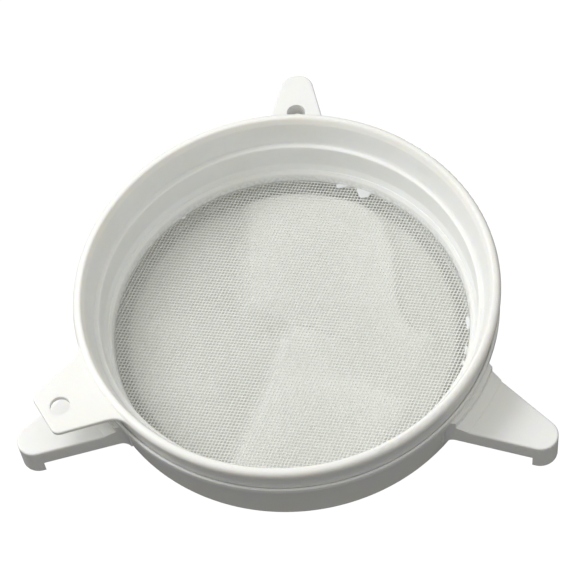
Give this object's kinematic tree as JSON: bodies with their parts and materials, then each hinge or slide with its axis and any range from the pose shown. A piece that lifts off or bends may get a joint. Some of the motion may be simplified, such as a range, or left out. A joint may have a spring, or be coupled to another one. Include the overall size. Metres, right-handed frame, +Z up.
{
  "type": "double sieve strainer",
  "caption": "Round white plastic strainer of two nested sieves: a coarse net bowl with a handle tab in a fine cloth bowl with hooked arms.",
  "frame": {"origin": "centre of the foot ring on the axis of both bowls", "axes": "+Z up along the bowls' axis, +Y along the arm with the hanging hole"},
  "size_m": [0.305, 0.2971, 0.06],
  "materials": {
    "white_polypropylene": "moulded, satin",
    "coarse_nylon_net": "knitted white nylon, open net",
    "fine_nylon_cloth": "woven white nylon bolting cloth"
  },
  "bodies": {
    "fine_sieve": {"fine_sieve_frame": "white_polypropylene", "fine_cloth": "fine_nylon_cloth"},
    "coarse_sieve": {"coarse_sieve_frame": "white_polypropylene", "coarse_net": "coarse_nylon_net"}
  },
  "joints": [
    {"name": "coarse_sieve_lift", "type": "slide", "parent": "fine_sieve", "child": "coarse_sieve", "axis": [0, 0, 1], "range_m": [0, 0.06]}
  ]
}
